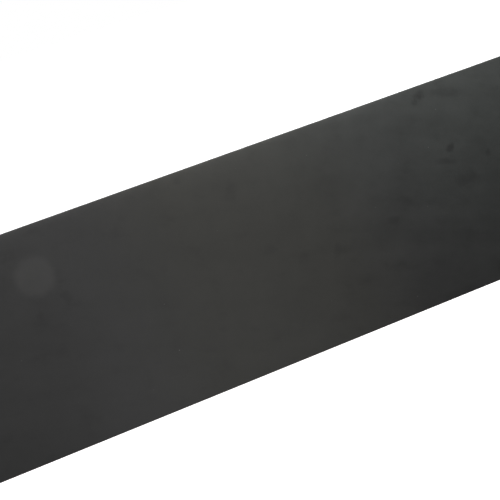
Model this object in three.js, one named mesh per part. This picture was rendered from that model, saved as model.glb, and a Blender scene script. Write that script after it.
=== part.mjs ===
// Stick-on kick plate for the foot of a door, as it comes out of its box: one coated
// metal sheet, strips of double-sided foam tape on its back, and a peel-off liner film
// over each strip. Millimetres. The plate stands as it is fixed to a door: +X along its
// length, +Z up, its face towards -Y. The origin is the middle of the plane that the
// liners' outer sides lie in, which is the plane that meets the door.

import * as THREE from 'three';

// The plate
const PLATE_LENGTH = 863.6;
const PLATE_HEIGHT = 203.2;
const PLATE_THICKNESS = 1.27;
const PLATE_CORNER_RADIUS = 3.2;
const PLATE_EDGE_BREAK = 0.3;

// The foam tape: one strip along each long edge, and upright strips between those two
const TAPE_WIDTH = 19;
const TAPE_THICKNESS = 1.1;
const TAPE_INSET = 5;
const UPRIGHT_STRIPS = ['left', 'mid_left', 'mid_centre', 'mid_right', 'right'];

// The liner on each strip, which runs past both ends of the tape as a finger tab
const LINER_THICKNESS = 0.13;
const LINER_TAB = 12;
const LINER_CORNER_RADIUS = 4;
const LINER_CLEARANCE = 3;

// Layers, counted from the door at y = 0 towards the plate's face
const LINER_BACK = 0;
const TAPE_BACK = LINER_BACK - LINER_THICKNESS;
const PLATE_BACK = TAPE_BACK - TAPE_THICKNESS;

// Where the strips' centre lines and ends come
const EDGE_TO_CENTRE_LINE = TAPE_INSET + TAPE_WIDTH / 2;
const STRIP_SPAN_X = PLATE_LENGTH / 2 - EDGE_TO_CENTRE_LINE;
const STRIP_SPAN_Z = PLATE_HEIGHT / 2 - EDGE_TO_CENTRE_LINE;
const LONG_LINER = PLATE_LENGTH - 2 * TAPE_INSET;
const UPRIGHT_LINER = 2 * STRIP_SPAN_Z - TAPE_WIDTH - 2 * LINER_CLEARANCE;

const ARC_STEPS = 8;

function material(colour, roughness) {
  return new THREE.MeshStandardMaterial({ color: colour, roughness, metalness: 0 });
}

// A rectangle with rounded corners, centred on the origin
function roundedRectangle(width, height, radius) {
  const right = width / 2;
  const top = height / 2;
  const outline = new THREE.Shape();
  outline.moveTo(radius - right, -top);
  outline.absarc(right - radius, radius - top, radius, -Math.PI / 2, 0);
  outline.absarc(right - radius, top - radius, radius, 0, Math.PI / 2);
  outline.absarc(radius - right, top - radius, radius, Math.PI / 2, Math.PI);
  outline.absarc(radius - right, radius - top, radius, Math.PI, 1.5 * Math.PI);
  return outline;
}

// A flat sheet in the XZ plane whose back is at y = 0 and whose face is towards -Y.
// Both edges all round are broken by a 45 degree chamfer of edgeBreak.
function sheet(width, height, thickness, cornerRadius, edgeBreak) {
  const geometry = new THREE.ExtrudeGeometry(roundedRectangle(width, height, cornerRadius), {
    depth: thickness - 2 * edgeBreak,
    curveSegments: ARC_STEPS,
    bevelEnabled: edgeBreak > 0,
    bevelThickness: edgeBreak,
    bevelSize: edgeBreak,
    bevelOffset: -edgeBreak,
    bevelSegments: 1,
  });
  geometry.translate(0, 0, edgeBreak);
  geometry.rotateX(Math.PI / 2);
  return geometry;
}

function addPiece(group, name, geometry, look, x, y, z, upright) {
  const piece = new THREE.Mesh(geometry, look);
  piece.name = name;
  piece.position.set(x, y, z);
  if (upright) {
    piece.rotation.y = Math.PI / 2;
  }
  group.add(piece);
}

// The tape is cut square at both ends. Its liner is longer by a tab at each end.
function addStrip(group, place, x, z, linerLength, upright) {
  const tape = new THREE.BoxGeometry(linerLength - 2 * LINER_TAB, TAPE_THICKNESS, TAPE_WIDTH);
  tape.translate(0, -TAPE_THICKNESS / 2, 0);
  const liner = sheet(linerLength, TAPE_WIDTH, LINER_THICKNESS, LINER_CORNER_RADIUS, 0);
  addPiece(group, `tape_${place}`, tape, material(0x7b7d80, 0.9), x, TAPE_BACK, z, upright);
  addPiece(group, `liner_${place}`, liner, material(0xa8312c, 0.45), x, LINER_BACK, z, upright);
}

function facePlate() {
  return sheet(PLATE_LENGTH, PLATE_HEIGHT, PLATE_THICKNESS, PLATE_CORNER_RADIUS, PLATE_EDGE_BREAK);
}

const kickPlate = new THREE.Group();
addPiece(kickPlate, 'face_plate', facePlate(), material(0x353534, 0.45), 0, PLATE_BACK, 0, false);
addStrip(kickPlate, 'top', 0, STRIP_SPAN_Z, LONG_LINER, false);
addStrip(kickPlate, 'bottom', 0, -STRIP_SPAN_Z, LONG_LINER, false);
const uprightPitch = (2 * STRIP_SPAN_X) / (UPRIGHT_STRIPS.length - 1);
UPRIGHT_STRIPS.forEach((place, index) => {
  const x = index * uprightPitch - STRIP_SPAN_X;
  addStrip(kickPlate, place, x, 0, UPRIGHT_LINER, true);
});

export default kickPlate;
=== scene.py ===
"""A stick-on kick plate for the foot of a door: one charcoal coated steel sheet, seven strips of
double-sided foam tape on its back, and a peel-off liner film over each strip. Metres, in the
frame of the design: +X along the sheet, +Z up, the face towards -Y and the door towards +Y."""

import math

import bpy
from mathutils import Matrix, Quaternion, Vector, noise


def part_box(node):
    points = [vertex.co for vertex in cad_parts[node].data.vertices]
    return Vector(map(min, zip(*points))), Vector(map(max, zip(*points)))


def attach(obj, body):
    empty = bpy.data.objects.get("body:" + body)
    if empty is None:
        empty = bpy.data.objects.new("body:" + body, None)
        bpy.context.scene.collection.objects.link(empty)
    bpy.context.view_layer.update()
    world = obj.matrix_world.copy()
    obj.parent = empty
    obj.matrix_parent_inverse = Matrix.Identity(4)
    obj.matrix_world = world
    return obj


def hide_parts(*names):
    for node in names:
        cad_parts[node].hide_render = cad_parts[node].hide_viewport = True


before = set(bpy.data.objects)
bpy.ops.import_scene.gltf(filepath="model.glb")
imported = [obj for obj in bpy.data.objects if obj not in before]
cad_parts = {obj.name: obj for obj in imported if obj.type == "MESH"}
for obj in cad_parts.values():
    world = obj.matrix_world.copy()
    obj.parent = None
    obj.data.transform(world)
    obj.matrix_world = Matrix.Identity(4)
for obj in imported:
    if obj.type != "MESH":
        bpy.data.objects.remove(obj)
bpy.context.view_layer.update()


# --- Face sheet -------------------------------------------------------------------------------
# One piece of thin cold-rolled steel, sheared to size. The shear rolls its edges off a little, the
# edges are then eased by hand, and the whole sheet is powder coated in a satin charcoal.
# The back gets a thinner, duller pass of the same powder, because the door hides it.

SHEET_CORNER = 0.0032
SHEET_EDGE_RADIUS = 0.0003
SHEET_ROLL_OFF = 0.00012
SHEET_ROLL_WIDTH = 0.012
SHEET_FLAT_FROM = SHEET_EDGE_RADIUS + 1.1 * SHEET_ROLL_WIDTH
CORNER_STEPS = 10
EDGE_STEPS = 4
ROLL_STEPS = 8


def rounded_outline(half_length, half_height, radius):
    """Points round a rectangle with round corners, anticlockwise as the face is looked at."""
    points = []
    for quarter, (side_x, side_z) in enumerate(((1, -1), (1, 1), (-1, 1), (-1, -1))):
        centre_x = side_x * (half_length - radius)
        centre_z = side_z * (half_height - radius)
        for step in range(CORNER_STEPS + 1):
            angle = math.radians(90 * (quarter - 1 + step / CORNER_STEPS))
            points.append((centre_x + radius * math.cos(angle), centre_z + radius * math.sin(angle)))
    return points


def add_piece(name, vertices, faces, sharp_angle=35):
    """A mesh object in the frame's own place, smooth but for edges sharper than the angle."""
    mesh = bpy.data.meshes.new(name)
    mesh.from_pydata(vertices, [], faces)
    mesh.shade_smooth()
    mesh.set_sharp_from_angle(angle=math.radians(sharp_angle))
    piece = bpy.data.objects.new(name, mesh)
    bpy.context.scene.collection.objects.link(piece)
    return piece


def skin_rings(rings):
    """Faces that join rings of equal length in order, with the first and last ring closed."""
    count = len(rings[0])
    vertices = [point for ring in rings for point in ring]
    faces = [tuple(reversed(range(count)))]
    for ring in range(len(rings) - 1):
        for i in range(count):
            j = (i + 1) % count
            here = ring * count
            faces.append((here + i, here + j, here + count + j, here + count + i))
    last = (len(rings) - 1) * count
    faces.append(tuple(last + i for i in range(count)))
    return vertices, faces


def sheet_section(thickness):
    """(inset from the outline, depth from the back) for each ring, from the back to the face."""
    radius = SHEET_EDGE_RADIUS
    shoulder = thickness - SHEET_ROLL_OFF
    turns = [math.radians(90 * step / EDGE_STEPS) for step in range(EDGE_STEPS + 1)]
    section = [(SHEET_ROLL_WIDTH, 0.0)]
    for turn in turns:
        section.append((radius * (1 - math.sin(turn)), radius * (1 - math.cos(turn))))
    for turn in turns:
        section.append((radius * (1 - math.cos(turn)), shoulder - radius * (1 - math.sin(turn))))
    for step in range(1, ROLL_STEPS + 1):
        share = step / ROLL_STEPS
        left_to_roll = SHEET_ROLL_OFF * (1 - share) ** 2
        section.append((radius + share * SHEET_ROLL_WIDTH, thickness - left_to_roll))
    section.append((SHEET_FLAT_FROM, thickness))
    return section


def face_sheet(low, high):
    """The sheet as rings from its back, over its edge, to its face, sharper cornered inwards."""
    half_length = (high.x - low.x) / 2
    half_height = (high.z - low.z) / 2
    rings = []
    for inset, depth in sheet_section(high.y - low.y):
        radius = SHEET_CORNER / (1 + inset / SHEET_CORNER)
        outline = rounded_outline(half_length - inset, half_height - inset, radius)
        rings.append([(x, high.y - depth, z) for x, z in outline])
    return add_piece("face_sheet", *skin_rings(rings))


def new_material(name):
    material = bpy.data.materials.new(name)
    material.use_nodes = True
    return material, material.node_tree, material.node_tree.nodes["Principled BSDF"]


def feed(tree, socket, value):
    """Sets a socket to a value, or links it to the socket that the value comes out of."""
    if isinstance(value, bpy.types.NodeSocket):
        tree.links.new(value, socket)
    else:
        socket.default_value = value


def add_node(tree, kind, inputs=(), **settings):
    """A node with its settings, and its inputs by name or number."""
    node = tree.nodes.new(kind)
    for name, value in settings.items():
        setattr(node, name, value)
    for name, value in dict(inputs).items():
        feed(tree, node.inputs[name], value)
    return node


def math_node(tree, operation, first, second=0.0, clamp=False):
    settings = {"operation": operation, "use_clamp": clamp}
    return add_node(tree, "ShaderNodeMath", {0: first, 1: second}, **settings).outputs[0]


def ramp(tree, value, low=0.0, high=1.0, out_low=0.0, out_high=1.0):
    """A soft step: value from low to high becomes out_low to out_high."""
    sockets = {0: value, 1: low, 2: high, 3: out_low, 4: out_high}
    return add_node(tree, "ShaderNodeMapRange", sockets, interpolation_type="SMOOTHSTEP").outputs[0]


def mix_colour(tree, factor, first, second, blend="MIX"):
    sockets = {0: factor, 6: first, 7: second}
    return add_node(tree, "ShaderNodeMix", sockets, data_type="RGBA", blend_type=blend).outputs[2]


def place_on_piece(tree, unit=(1, 1, 1), rotation=(0, 0, 0), centre=(0, 0, 0)):
    """The point on the piece, counted from a centre in units that may differ by axis."""
    coordinates = add_node(tree, "ShaderNodeTexCoord").outputs["Object"]
    sockets = {"Vector": coordinates, "Location": centre, "Rotation": rotation, "Scale": unit}
    return add_node(tree, "ShaderNodeMapping", sockets, vector_type="TEXTURE").outputs[0]


def lengths_on_piece(tree):
    """The point on the piece as three lengths: along X, Y and Z."""
    return add_node(tree, "ShaderNodeSeparateXYZ", {0: place_on_piece(tree)}).outputs


def cloud(tree, size, detail=3.0, roughness=0.5, turn=0.0):
    """Soft noise from 0 to 1 with blotches of a size in metres: one length, or one for each axis."""
    unit = size if isinstance(size, tuple) else (size, size, size)
    place = place_on_piece(tree, unit, rotation=(0, turn, 0))
    sockets = {"Vector": place, "Scale": 1.0, "Detail": detail, "Roughness": roughness}
    return add_node(tree, "ShaderNodeTexNoise", sockets).outputs["Fac"]


def swing(tree, value, reach=1.0):
    """Noise from 0 to 1 turned into a swing either side of nothing, with a whole width of reach."""
    return math_node(tree, "MULTIPLY", math_node(tree, "SUBTRACT", value, 0.5), reach)


def new_group(name, inputs, outputs):
    """An empty node group with named sockets: (name, kind, default) in, and (name, kind) out."""
    group = bpy.data.node_groups.new(name, "ShaderNodeTree")
    for socket, kind, default in inputs:
        made = group.interface.new_socket(socket, in_out="INPUT", socket_type=kind)
        made.default_value = default
    for socket, kind in outputs:
        group.interface.new_socket(socket, in_out="OUTPUT", socket_type=kind)
    source = group.nodes.new("NodeGroupInput")
    sink = group.nodes.new("NodeGroupOutput")
    return group, source.outputs, sink.inputs


WIPE_SLANT = math.radians(20)
CLOUD_SIZE = 0.06
CLOUD_REACH = 2.0
WIPE_SIZE = (0.075, 0.075, 0.016)
SMUDGE_SIZE = (0.024, 0.024, 0.015)
SMUDGE_FROM = 0.50
SMUDGE_FULL = 0.78
POWDER_SIZE = 0.0011
POWDER_HEIGHT = 0.35
PEEL_SIZE = 0.003
SPECK_CORE = 0.4
MARK_CORE = 0.25
MARK_EDGE_SIZE = 0.004
MARK_EDGE_BREAK = 1.2


def powder_coat_group():
    """Baked powder: clouding where hands and cloths have been, wipe marks on a slant, darker
    smudges, the fine grain of the melted powder, and a roughness and a height that follow them."""
    group, given, result = new_group(
        "powder_coat",
        (
            ("Colour", "NodeSocketColor", (0.03, 0.03, 0.03, 1)),
            ("Clouding", "NodeSocketFloat", 0.1),
            ("Smudging", "NodeSocketFloat", 0.1),
            ("Grain", "NodeSocketFloat", 0.1),
            ("Roughness", "NodeSocketFloat", 0.45),
            ("Roughness Spread", "NodeSocketFloat", 0.1),
        ),
        (
            ("Colour", "NodeSocketColor"),
            ("Roughness", "NodeSocketFloat"),
            ("Height", "NodeSocketFloat"),
        ),
    )
    clouded = swing(group, cloud(group, CLOUD_SIZE, detail=6.0, roughness=0.85), CLOUD_REACH)
    wiped = swing(group, cloud(group, WIPE_SIZE, turn=WIPE_SLANT))
    uneven = math_node(group, "ADD", clouded, wiped)
    smeared = cloud(group, SMUDGE_SIZE, roughness=0.6, turn=WIPE_SLANT)
    smudge = ramp(group, smeared, SMUDGE_FROM, SMUDGE_FULL)
    powder = cloud(group, POWDER_SIZE, detail=2.0, roughness=0.6)
    peel = cloud(group, PEEL_SIZE, detail=1.0, roughness=0.4)
    lighter = math_node(group, "MULTIPLY", uneven, given["Clouding"])
    darker = math_node(group, "MULTIPLY", smudge, given["Smudging"])
    grained = math_node(group, "MULTIPLY", swing(group, powder), given["Grain"])
    change = math_node(group, "SUBTRACT", math_node(group, "ADD", lighter, grained), darker)
    factor = math_node(group, "ADD", change, 1.0)
    grey = add_node(group, "ShaderNodeCombineColor", {0: factor, 1: factor, 2: factor}).outputs[0]
    group.links.new(mix_colour(group, 1.0, given["Colour"], grey, "MULTIPLY"), result["Colour"])
    spread = math_node(group, "MULTIPLY", uneven, given["Roughness Spread"])
    roughness = math_node(group, "ADD", spread, given["Roughness"], clamp=True)
    group.links.new(roughness, result["Roughness"])
    height = math_node(group, "ADD", peel, swing(group, powder, POWDER_HEIGHT))
    group.links.new(height, result["Height"])
    return group


def specks_group():
    """Scattered round specks, one at most to a cell of a grid laid over the sheet's plane."""
    group, given, result = new_group(
        "specks",
        (
            ("Colour", "NodeSocketColor", (0.03, 0.03, 0.03, 1)),
            ("Speck Colour", "NodeSocketColor", (0.2, 0.2, 0.2, 1)),
            ("Per Metre", "NodeSocketFloat", 40.0),
            ("Share", "NodeSocketFloat", 0.2),
            ("Size", "NodeSocketFloat", 0.02),
        ),
        (("Colour", "NodeSocketColor"),),
    )
    at = lengths_on_piece(group)
    in_plane = add_node(group, "ShaderNodeCombineXYZ", {0: at[0], 1: at[2]}).outputs[0]
    sockets = {"Vector": in_plane, "Scale": given["Per Metre"]}
    cells = add_node(group, "ShaderNodeTexVoronoi", sockets, voronoi_dimensions="2D").outputs
    cell_number = add_node(group, "ShaderNodeSeparateColor", {0: cells["Color"]}).outputs
    chosen = math_node(group, "LESS_THAN", cell_number[0], given["Share"])
    own_size = math_node(group, "MULTIPLY", cell_number[1], given["Size"])
    core = math_node(group, "MULTIPLY", own_size, SPECK_CORE)
    speck = ramp(group, cells["Distance"], core, own_size, out_low=1.0, out_high=0.0)
    mask = math_node(group, "MULTIPLY", speck, chosen)
    group.links.new(mix_colour(group, mask, given["Colour"], given["Speck Colour"]), result["Colour"])
    return group


def hand_mark_group():
    """One dull mark left by a fingertip or a knock: an oval with a broken edge."""
    group, given, result = new_group(
        "hand_mark",
        (
            ("Centre", "NodeSocketVector", (0, 0, 0)),
            ("Turn", "NodeSocketVector", (0, 0, 0)),
            ("Reach", "NodeSocketVector", (0.004, 1, 0.003)),
        ),
        (("Mask", "NodeSocketFloat"),),
    )
    place = place_on_piece(group, given["Reach"], given["Turn"], given["Centre"])
    distance = add_node(group, "ShaderNodeVectorMath", {0: place}, operation="LENGTH").outputs["Value"]
    uneven = swing(group, cloud(group, MARK_EDGE_SIZE), MARK_EDGE_BREAK)
    broken = math_node(group, "ADD", distance, uneven)
    group.links.new(ramp(group, broken, MARK_CORE, out_low=1.0, out_high=0.0), result["Mask"])
    return group


POWDER_COAT = powder_coat_group()
SPECKS = specks_group()
HAND_MARK = hand_mark_group()

CHARCOAL = (0.0342, 0.0342, 0.0338, 1)
CHARCOAL_WARM = (0.0345, 0.0343, 0.0305, 1)
# A cool, greener charcoal: a painted reflection tint standing in for the cool sheen towards the upper
# right
CHARCOAL_SHEEN_TINT = (0.0322, 0.0346, 0.0330, 1)
CHARCOAL_DULL = (0.041, 0.041, 0.0405, 1)
BARE_STEEL = (0.16, 0.158, 0.152, 1)
NICK = (0.012, 0.012, 0.012, 1)
DUST = (0.14, 0.14, 0.136, 1)
CUP_PRINT = (0.2, 0.199, 0.19, 1)
WITHOUT_DEPTH = (1, 0, 1)
CUP_MARK_PLACE = (-0.1948, 0.0, 0.0575)
CUP_MARK_RADIUS = 0.0170
CUP_MARK_SOFTNESS = 0.0045
CUP_MARK_WOBBLE = 0.004
CUP_MARK_WOBBLE_SIZE = 0.011
CUP_MARK_MIDDLE = 0.8
CUP_MARK_STRENGTH = 0.09
RUB_WIDTH = 2 * SHEET_EDGE_RADIUS
RUB_PATCH_SIZE = 0.008
BACK_SIDE = 0.5

# In half heights of the sheet: how far from its middle the warm tint holds and ends, and how far
# along and up the sheet, added together, the wear of handling and the painted cool sheen tint are full
WARM_HOLDS = 0.5
WARM_ENDS = 1.6
HANDLING_AND_SHEEN_FULL = 3

# The marks that stand out on the face: centre along and up the sheet, half length and half width
# in metres, the slant of the long way in degrees, and how far it darkens the coat
HAND_MARKS = (
    (0.1850, 0.0925, 0.0075, 0.0065, 60, 0.50),
    (0.1800, 0.0885, 0.0065, 0.0045, 45, 0.42),
    (0.2012, 0.0365, 0.0060, 0.0050, 40, 0.50),
    (0.2368, 0.0200, 0.0050, 0.0042, 0, 0.36),
    (-0.1755, 0.0315, 0.0100, 0.0055, -75, 0.26),
    (-0.2014, 0.0250, 0.0055, 0.0045, 0, 0.20),
    (0.1295, -0.0090, 0.0090, 0.0070, -20, 0.26),
    (-0.0530, 0.0935, 0.0050, 0.0040, 0, 0.26),
    (0.2100, 0.0870, 0.0240, 0.0060, -20, 0.26),
    (0.1938, 0.0262, 0.0150, 0.0040, -20, 0.28),
    (0.2080, 0.0030, 0.0180, 0.0090, -20, 0.22),
    (-0.0100, 0.0690, 0.0120, 0.0070, 70, 0.18),
    (0.0080, 0.0060, 0.0085, 0.0075, 0, 0.18),
    (0.0690, -0.0160, 0.0100, 0.0050, 70, 0.20),
)


def group_node(tree, group, inputs):
    return add_node(tree, "ShaderNodeGroup", inputs, node_tree=group).outputs


def edge_rub(tree, high):
    """How close a point is to the sheet's outline, broken up, where the powder is rubbed thin."""
    at = lengths_on_piece(tree)
    from_end = math_node(tree, "SUBTRACT", high.x, math_node(tree, "ABSOLUTE", at[0]))
    from_side = math_node(tree, "SUBTRACT", high.z, math_node(tree, "ABSOLUTE", at[2]))
    nearest = math_node(tree, "MINIMUM", from_end, from_side)
    close = ramp(tree, nearest, high=RUB_WIDTH, out_low=1.0, out_high=0.0)
    patchy = ramp(tree, cloud(tree, RUB_PATCH_SIZE, roughness=0.6), low=0.45, high=0.7)
    return math_node(tree, "MULTIPLY", close, patchy)


def handled_and_sheen_end(tree, high):
    """From 0 at the sheet's middle to 1 towards its upper right: the end it was carried by, with more
    handling marks, and where a painted reflection tint of cool sheen goes into the colour.
    """
    at = lengths_on_piece(tree)
    return ramp(tree, math_node(tree, "ADD", at[0], at[2]), high=HANDLING_AND_SHEEN_FULL * high.z)


def drifting_charcoal(tree, high, handled):
    """The colour drifts along the sheet: warmer in the middle with the thickness of the powder, then
    greener towards the upper right, a painted reflection tint for the cool sheen there.
    """
    from_middle = math_node(tree, "ABSOLUTE", lengths_on_piece(tree)[0])
    held = WARM_HOLDS * high.z
    ended = WARM_ENDS * high.z
    middle = ramp(tree, from_middle, held, ended, out_low=1.0, out_high=0.0)
    warmed = mix_colour(tree, middle, CHARCOAL, CHARCOAL_WARM)
    # Painted reflection tint: the coat turns cooler and greener towards the upper right, where the
    # sheen is
    return mix_colour(tree, handled, warmed, CHARCOAL_SHEEN_TINT)


def cup_mark(tree):
    """The faint round print that a suction cup leaves on the satin coat when the sheet is lifted."""
    from_centre = place_on_piece(tree, centre=CUP_MARK_PLACE)
    sockets = {0: from_centre, 1: WITHOUT_DEPTH}
    in_plane = add_node(tree, "ShaderNodeVectorMath", sockets, operation="MULTIPLY").outputs["Vector"]
    offset = add_node(tree, "ShaderNodeVectorMath", {0: in_plane}, operation="LENGTH").outputs["Value"]
    wobble = swing(tree, cloud(tree, CUP_MARK_WOBBLE_SIZE), CUP_MARK_WOBBLE)
    distance = math_node(tree, "ADD", offset, wobble)
    full = CUP_MARK_RADIUS - CUP_MARK_SOFTNESS
    gone = CUP_MARK_RADIUS + CUP_MARK_SOFTNESS
    disc = ramp(tree, distance, full, gone, out_low=1.0, out_high=0.0)
    inner = ramp(tree, distance, high=CUP_MARK_RADIUS, out_low=CUP_MARK_MIDDLE)
    return math_node(tree, "MULTIPLY", disc, inner)


def hand_marks(tree):
    """The deepest of all the marks at each point."""
    deepest = 0.0
    for x, z, half_length, half_width, slant, depth in HAND_MARKS:
        mark = group_node(tree, HAND_MARK, {
            "Centre": (x, 0, z),
            "Turn": (0, math.radians(-slant), 0),
            "Reach": (half_length, 1, half_width),
        })
        darkening = math_node(tree, "MULTIPLY", mark["Mask"], depth)
        deepest = math_node(tree, "MAXIMUM", darkening, deepest)
    return deepest


def add_bump(tree, shader, height, strength, distance):
    sockets = {"Height": height, "Strength": strength, "Distance": distance}
    bump = add_node(tree, "ShaderNodeBump", sockets)
    tree.links.new(bump.outputs["Normal"], shader.inputs["Normal"])


def face_coat(high):
    material, tree, shader = new_material("charcoal_powder_face")
    # handled also carries the painted cool sheen tint into the coat's colour, besides more handling
    # wear
    handled = handled_and_sheen_end(tree, high)
    coat = group_node(tree, POWDER_COAT, {
        "Colour": drifting_charcoal(tree, high, handled),
        "Clouding": ramp(tree, handled, out_low=0.27, out_high=0.30),
        "Smudging": ramp(tree, handled, out_low=0.14, out_high=0.16),
        "Grain": 0.10,
        "Roughness": 0.44,
        "Roughness Spread": 0.05,
    })
    dusty = group_node(tree, SPECKS, {
        "Colour": coat["Colour"],
        "Speck Colour": DUST,
        "Per Metre": 61.0,
        "Share": 0.05,
        "Size": 0.038,
    })
    marked = mix_colour(tree, hand_marks(tree), dusty["Colour"], NICK)
    rubbed = mix_colour(tree, edge_rub(tree, high), marked, BARE_STEEL)
    print_strength = math_node(tree, "MULTIPLY", cup_mark(tree), CUP_MARK_STRENGTH)
    printed = mix_colour(tree, print_strength, rubbed, CUP_PRINT)
    tree.links.new(printed, shader.inputs["Base Color"])
    tree.links.new(coat["Roughness"], shader.inputs["Roughness"])
    add_bump(tree, shader, coat["Height"], strength=0.12, distance=0.0002)
    return material


def back_coat():
    material, tree, shader = new_material("charcoal_powder_back")
    coat = group_node(tree, POWDER_COAT, {
        "Colour": CHARCOAL_DULL,
        "Clouding": 0.16,
        "Smudging": 0.12,
        "Grain": 0.22,
        "Roughness": 0.6,
        "Roughness Spread": 0.06,
    })
    dusty = group_node(tree, SPECKS, {
        "Colour": coat["Colour"],
        "Speck Colour": DUST,
        "Per Metre": 48.0,
        "Share": 0.16,
        "Size": 0.022,
    })
    tree.links.new(dusty["Colour"], shader.inputs["Base Color"])
    tree.links.new(coat["Roughness"], shader.inputs["Roughness"])
    add_bump(tree, shader, coat["Height"], strength=0.2, distance=0.0003)
    return material


sheet_low, sheet_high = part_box("face_plate")
sheet_piece = face_sheet(sheet_low, sheet_high)
sheet_piece.data.materials.append(face_coat(sheet_high))
sheet_piece.data.materials.append(back_coat())
for side in sheet_piece.data.polygons:
    side.material_index = 1 if side.normal.y > BACK_SIDE else 0
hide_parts("face_plate")
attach(sheet_piece, "plate")


# --- Foam tape strips -------------------------------------------------------------------------
# Closed-cell acrylic foam tape with adhesive on both sides, slit to width on a log and cut square
# with a knife. It is pressed to the sheet's back by a roller: one strip along each long edge, and
# upright strips between them. Its slit sides are slightly hollow and never quite straight.

STRIP_PLACES = ("top", "bottom", "left", "mid_left", "mid_centre", "mid_right", "right")
FOAM_STATION_STEP = 0.004
FOAM_EDGE_RADIUS = 0.00012
FOAM_SIDE_WANDER = 0.00015
FOAM_WANDERS_PER_METRE = 45
FOAM_SIDE_HOLLOW = 0.00008
FOAM_GREY = (0.175, 0.18, 0.188, 1)
# Dark grey for random darker blotches on the foam, and also the painted shade inside its open pores
FOAM_DARK_AND_PORE_SHADE = (0.07, 0.072, 0.076, 1)
ADHESIVE_ROUGHNESS = 0.22
FOAM_ROUGHNESS = 0.88
FOAM_PORE_SIZE = 0.0004
FOAM_SHADE_SIZE = 0.012
FOAM_SHADE_DEPTH = 0.22
FOAM_LUMP_SIZE = 0.004


def run_of(low, high):
    """A strip's middle, half length, half width, and its long and cross directions."""
    middle = (low + high) / 2
    level = high.x - low.x > high.z - low.z
    along = Vector((1, 0, 0)) if level else Vector((0, 0, 1))
    across = Vector((0, 0, 1)) if level else Vector((-1, 0, 0))
    half_length = (high - low).dot(along) / 2
    half_width = abs((high - low).dot(across)) / 2
    return middle, half_length, half_width, along, across


def foam_section(half_width, thickness, wander):
    """(across, depth below the liner) round one cut through the foam, with hollow slit sides."""
    left_side, right_side = wander
    radius = FOAM_EDGE_RADIUS
    right = half_width + right_side
    left = half_width + left_side
    waist = FOAM_SIDE_HOLLOW
    return (
        (right - radius, 0.0),
        (right, radius),
        (right - waist, thickness / 2),
        (right, thickness - radius),
        (right - radius, thickness),
        (radius - left, thickness),
        (-left, thickness - radius),
        (waist - left, thickness / 2),
        (-left, radius),
        (radius - left, 0.0),
    )


def foam_strip(place):
    low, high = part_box(f"tape_{place}")
    middle, half_length, half_width, along, across = run_of(low, high)
    stations = math.ceil(2 * half_length / FOAM_STATION_STEP)
    rings = []
    for station in range(stations + 1):
        run = half_length * (2 * station / stations - 1)
        centre = middle + along * run
        wander = []
        for side in (-1, 1):
            probe = (centre + across * side * half_width) * FOAM_WANDERS_PER_METRE
            wander.append(FOAM_SIDE_WANDER * noise.noise(probe) - FOAM_SIDE_WANDER)
        ring = []
        for reach, depth in foam_section(half_width, high.y - low.y, wander):
            point = centre + across * reach
            ring.append((point.x, high.y - depth, point.z))
        rings.append(ring)
    return add_piece(f"foam_strip_{place}", *skin_rings(rings), sharp_angle=50)


def foam_material():
    """Grey foam with open pores on the slit sides, darkened in the colour as painted shade inside
    them, and a slick film of adhesive on both flats.
    """
    material, tree, shader = new_material("acrylic_foam")
    sockets = {"Vector": place_on_piece(tree), "Scale": 1 / FOAM_PORE_SIZE}
    pores = add_node(tree, "ShaderNodeTexVoronoi", sockets).outputs["Distance"]
    pore_depth_and_shade = ramp(tree, pores, low=0.15, high=0.45, out_low=1.0, out_high=0.0)
    blotches = cloud(tree, FOAM_SHADE_SIZE)
    shade = ramp(tree, blotches, low=0.35, high=0.65, out_high=FOAM_SHADE_DEPTH)
    tone = mix_colour(tree, shade, FOAM_GREY, FOAM_DARK_AND_PORE_SHADE)
    normal = add_node(tree, "ShaderNodeTexCoord").outputs["Normal"]
    facing = add_node(tree, "ShaderNodeSeparateXYZ", {0: normal}).outputs
    flat_side = ramp(tree, math_node(tree, "ABSOLUTE", facing[1]), low=0.7, high=0.95)
    slit_side = math_node(tree, "SUBTRACT", 1.0, flat_side)
    # Painted shade: the open pores on the slit sides are darkened in the colour as the shade inside
    # them; the same mask also sinks them in the bump
    open_pores_and_shade = math_node(tree, "MULTIPLY", pore_depth_and_shade, slit_side)
    pore_shaded = mix_colour(tree, open_pores_and_shade, tone, FOAM_DARK_AND_PORE_SHADE)
    dusty = group_node(tree, SPECKS, {
        "Colour": pore_shaded,
        "Speck Colour": DUST,
        "Per Metre": 90.0,
        "Share": 0.10,
        "Size": 0.03,
    })
    tree.links.new(dusty["Colour"], shader.inputs["Base Color"])
    gloss = ramp(tree, flat_side, out_low=FOAM_ROUGHNESS, out_high=ADHESIVE_ROUGHNESS)
    tree.links.new(gloss, shader.inputs["Roughness"])
    height = math_node(tree, "SUBTRACT", cloud(tree, FOAM_LUMP_SIZE, detail=2.0), open_pores_and_shade)
    add_bump(tree, shader, height, strength=0.35, distance=0.0002)
    return material


FOAM = foam_material()
for place in STRIP_PLACES:
    strip = foam_strip(place)
    strip.data.materials.append(FOAM)
    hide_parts(f"tape_{place}")
    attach(strip, "plate")


# --- Liner films ------------------------------------------------------------------------------
# Red polyethylene film, siliconed on the tape side, laid over each strip when the tape is wound.
# It is left longer than the tape, and its two free ends are rounded and lift away as finger tabs.
# Each film peels off the back on its own, just before the plate is stuck on.

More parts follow.
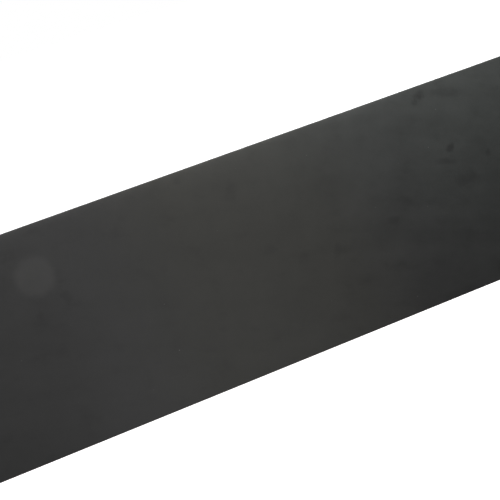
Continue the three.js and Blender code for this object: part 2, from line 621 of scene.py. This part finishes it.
LINER_CORNER = 0.004
LINER_TAB = 0.012
TAB_LIFT = 0.0016
TAB_STEPS = 10
LINER_END_STEPS = 8
LINER_STATION_STEP = 0.006
LINER_RED = (0.40, 0.035, 0.028, 1)
LINER_RED_DEEP = (0.345, 0.028, 0.023, 1)
LINER_RED_DARK = (0.24, 0.018, 0.016, 1)
LINER_STRESS = (0.62, 0.20, 0.17, 1)
DRAW_LINE_WIDTH = 0.0012
DRAW_LINE_LENGTH = 0.15
KINK_SPACING = 0.014
KINK_HALF_WIDTH = 0.0003
KINK_BEND = 0.009
KINK_BEND_SIZE = 0.03
KINK_PALENESS = 0.35
LINER_SHADE_SIZE = 0.03
LINER_HANDLED_SIZE = 0.04
LINER_RIPPLE_SIZE = 0.009
TAB_LIFT_SPREAD = 0.35
TWIST_PROBE = Vector((0.5, 0.3, 0.7))
DRAW_LINE_TINT = 0.25
DRAW_LINE_HEIGHT = 0.3


def liner_stations(half_length):
    """Distances along half a film from its middle: even steps, then the tab, then its round end."""
    hinge = half_length - LINER_TAB
    bend_end = half_length - LINER_CORNER
    flat_steps = math.ceil(hinge / LINER_STATION_STEP)
    stations = [hinge * step / flat_steps for step in range(flat_steps)]
    stations += [hinge + (bend_end - hinge) * step / TAB_STEPS for step in range(TAB_STEPS)]
    for step in range(LINER_END_STEPS + 1):
        angle = math.radians(90 * step / LINER_END_STEPS)
        stations.append(bend_end + LINER_CORNER * math.sin(angle))
    return stations


def liner_half_width(half_width, run, half_length):
    """Half the film's width, which narrows round its corners."""
    past = abs(run) - (half_length - LINER_CORNER)
    if past <= 0:
        return half_width
    return half_width - LINER_CORNER + math.sqrt(max(LINER_CORNER**2 - past**2, 0.0))


def tab_lift(run, half_length, twist):
    """How far a finger tab stands off the strip, a little more at one end than the other."""
    past = max(abs(run) - (half_length - LINER_TAB), 0.0) / LINER_TAB
    return TAB_LIFT * past**2 * (1 + (twist if run > 0 else -twist))


def liner_film(place, number):
    low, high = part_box(f"liner_{place}")
    middle, half_length, half_width, along, across = run_of(low, high)
    outward = liner_stations(half_length)
    runs = [-run for run in reversed(outward[1:])] + outward
    twist = TAB_LIFT_SPREAD * noise.noise(Vector((number, 0, 0)) + TWIST_PROBE)
    rings = []
    for run in runs:
        centre = middle + along * run
        reach = liner_half_width(half_width, run, half_length)
        lift = tab_lift(run, half_length, twist)
        ring = []
        for side, y in ((1, high.y), (1, low.y), (-1, low.y), (-1, high.y)):
            point = centre + across * side * reach
            ring.append((point.x, y + lift, point.z))
        rings.append(ring)
    return add_piece(f"liner_film_{place}", *skin_rings(rings), sharp_angle=50)


def liner_material(name, upright):
    """Red film with fine draw lines along its run, and pale kinks across it where it was handled."""
    material, tree, shader = new_material(name)
    line_size = [DRAW_LINE_LENGTH, DRAW_LINE_LENGTH, DRAW_LINE_LENGTH]
    line_size[0 if upright else 2] = DRAW_LINE_WIDTH
    drawn = cloud(tree, tuple(line_size), roughness=0.6)
    depth = ramp(tree, cloud(tree, LINER_SHADE_SIZE), low=0.3, high=0.7)
    tone = mix_colour(tree, depth, LINER_RED, LINER_RED_DEEP)
    tint = ramp(tree, drawn, low=0.4, high=0.7, out_high=DRAW_LINE_TINT)
    lined = mix_colour(tree, tint, tone, LINER_RED_DARK)
    bend = swing(tree, cloud(tree, KINK_BEND_SIZE), KINK_BEND)
    along = math_node(tree, "ADD", lengths_on_piece(tree)[2 if upright else 0], bend)
    sockets = {"W": along, "Scale": 1 / KINK_SPACING}
    settings = {"voronoi_dimensions": "1D", "feature": "DISTANCE_TO_EDGE"}
    from_kink = add_node(tree, "ShaderNodeTexVoronoi", sockets, **settings).outputs["Distance"]
    edge = KINK_HALF_WIDTH / KINK_SPACING
    kink = ramp(tree, from_kink, high=edge, out_low=1.0, out_high=0.0)
    handled = ramp(tree, cloud(tree, LINER_HANDLED_SIZE, detail=1.0), low=0.52, high=0.68)
    kinked = math_node(tree, "MULTIPLY", kink, handled)
    pale = math_node(tree, "MULTIPLY", kinked, KINK_PALENESS)
    dusty = group_node(tree, SPECKS, {
        "Colour": mix_colour(tree, pale, lined, LINER_STRESS),
        "Speck Colour": DUST,
        "Per Metre": 70.0,
        "Share": 0.1,
        "Size": 0.025,
    })
    tree.links.new(dusty["Colour"], shader.inputs["Base Color"])
    gloss = ramp(tree, drawn, low=0.3, high=0.7, out_low=0.28, out_high=0.4)
    tree.links.new(gloss, shader.inputs["Roughness"])
    raised = math_node(tree, "ADD", math_node(tree, "MULTIPLY", drawn, DRAW_LINE_HEIGHT), kinked)
    rippled = math_node(tree, "ADD", cloud(tree, LINER_RIPPLE_SIZE, detail=2.0), raised)
    add_bump(tree, shader, rippled, strength=0.3, distance=0.0005)
    return material


LEVEL_FILM = liner_material("red_release_film_level", upright=False)
UPRIGHT_FILM = liner_material("red_release_film_upright", upright=True)
for number, place in enumerate(STRIP_PLACES):
    film = liner_film(place, number)
    film.data.materials.append(LEVEL_FILM if place in ("top", "bottom") else UPRIGHT_FILM)
    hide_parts(f"liner_{place}")
    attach(film, f"liner_{place}")


# --- Studio -----------------------------------------------------------------------------------
# A plain white floor that casts nothing back, soft lights, and a portrait lens that looks nearly
# square onto the face from a little to the left and above, turned about its own axis. It stands
# near enough that both ends of the sheet run out of view.

WHITE = (1, 1, 1, 1)
FLOOR_GAP = 0.004
FLOOR_HALF_SIZE = 12.0
FLOOR_PALE = (0.8, 0.8, 0.8, 1)
ROOM_FILL = 0.05
ALL_ROUND = 180
NARROW = 50
CAMERA_LENS = 86.4
CAMERA_AZIMUTH = math.radians(-13.64)
CAMERA_ELEVATION = math.radians(13.62)
CAMERA_ROLL = math.radians(-17.49)
CAMERA_DISTANCE = 1.0660
CAMERA_AIM = Vector((-0.0093, sheet_low.y, 0.0132))

# Each light's name, its place, the point it is turned to, its width and height, its power in
# watts, and the angle in degrees that its light spreads over
SOFT_LIGHTS = (
    ("above_left", (-0.35, -0.15, 0.3), (-0.35, 0, 0), 0.35, 0.2, 0.80, ALL_ROUND),
    ("above_middle", (0.0, -0.35, 0.3), (0, 0, 0), 0.35, 0.2, 0.87, ALL_ROUND),
    ("above_right", (0.3, -0.15, 0.3), (0.3, 0, 0), 0.35, 0.2, 1.45, ALL_ROUND),
    ("low_front", (0.0, -0.5, -0.1), (0, 0, 0), 0.35, 0.2, 0.16, ALL_ROUND),
    ("low_near", (0.0, -0.2, -0.2), (0, 0, 0), 0.35, 0.2, 0.095, ALL_ROUND),
    ("low_left", (-0.2, -0.5, -0.3), (-0.2, 0, 0), 0.35, 0.2, 0.11, ALL_ROUND),
    ("top_strip", (0.1, -0.04, 0.15), (0.1, 0, 0.07), 0.3, 0.06, 0.08, ALL_ROUND),
    ("top_rim", (-0.13, -0.0065, 0.105), (-0.13, -0.0025, 0.093), 0.60, 0.003, 0.011, ALL_ROUND),
    ("left_end", (-0.55, -0.40, 0.35), (-0.46, 0, 0), 0.12, 0.12, 0.18, NARROW),
    ("right_end", (0.57, -0.40, 0.35), (0.48, 0, 0), 0.12, 0.12, 0.09, NARROW),
    ("behind_left", (0.9, 1.1, 0.9), (0.1, 0, 0), 0.9, 0.7, 16, ALL_ROUND),
    ("behind_right", (-0.9, 0.9, 0.3), (-0.1, 0, 0), 0.7, 0.7, 6, ALL_ROUND),
)


def white_floor():
    z = sheet_low.z - FLOOR_GAP
    size = FLOOR_HALF_SIZE
    corners = [(-size, -size, z), (size, -size, z), (size, size, z), (-size, size, z)]
    floor = add_piece("floor", corners, [(0, 1, 2, 3)])
    material, tree, shader = new_material("white_floor")
    shader.inputs["Base Color"].default_value = FLOOR_PALE
    shader.inputs["Roughness"].default_value = 0.9
    shader.inputs["Emission Color"].default_value = WHITE
    shader.inputs["Emission Strength"].default_value = 1.0
    floor.data.materials.append(material)
    floor.visible_glossy = False
    floor.visible_diffuse = False
    floor.visible_shadow = False


def white_room(fill):
    """White behind everything, while what falls on the object from all round is only a dim fill."""
    world = bpy.data.worlds.new("white_room")
    world.use_nodes = True
    tree = world.node_tree
    seen = add_node(tree, "ShaderNodeLightPath").outputs["Is Camera Ray"]
    background = tree.nodes["Background"]
    background.inputs["Color"].default_value = WHITE
    tree.links.new(ramp(tree, seen, out_low=fill), background.inputs["Strength"])
    bpy.context.scene.world = world


def soft_light(name, place, aim, width, height, power, spread):
    lamp = bpy.data.lights.new(name, "AREA")
    lamp.spread = math.radians(spread)
    lamp.shape = "RECTANGLE"
    lamp.size = width
    lamp.size_y = height
    lamp.energy = power
    light = bpy.data.objects.new(name, lamp)
    light.location = place
    light.rotation_euler = (Vector(aim) - Vector(place)).to_track_quat("-Z", "Y").to_euler()
    light.visible_camera = False
    bpy.context.scene.collection.objects.link(light)


def long_lens_camera():
    lens = bpy.data.cameras.new("camera")
    lens.lens = CAMERA_LENS
    lens.sensor_width = 36
    lens.clip_start = 0.05
    lens.clip_end = 100
    camera = bpy.data.objects.new("camera", lens)
    flat = math.cos(CAMERA_ELEVATION)
    back = Vector((
        math.sin(CAMERA_AZIMUTH) * flat,
        -math.cos(CAMERA_AZIMUTH) * flat,
        math.sin(CAMERA_ELEVATION),
    ))
    camera.location = CAMERA_AIM + back * CAMERA_DISTANCE
    level = (-back).to_track_quat("-Z", "Y")
    camera.rotation_euler = (level @ Quaternion((0, 0, 1), CAMERA_ROLL)).to_euler()
    bpy.context.scene.collection.objects.link(camera)
    bpy.context.scene.camera = camera


white_floor()
white_room(ROOM_FILL)
for light in SOFT_LIGHTS:
    soft_light(*light)
long_lens_camera()
bpy.context.scene.view_settings.view_transform = "Standard"
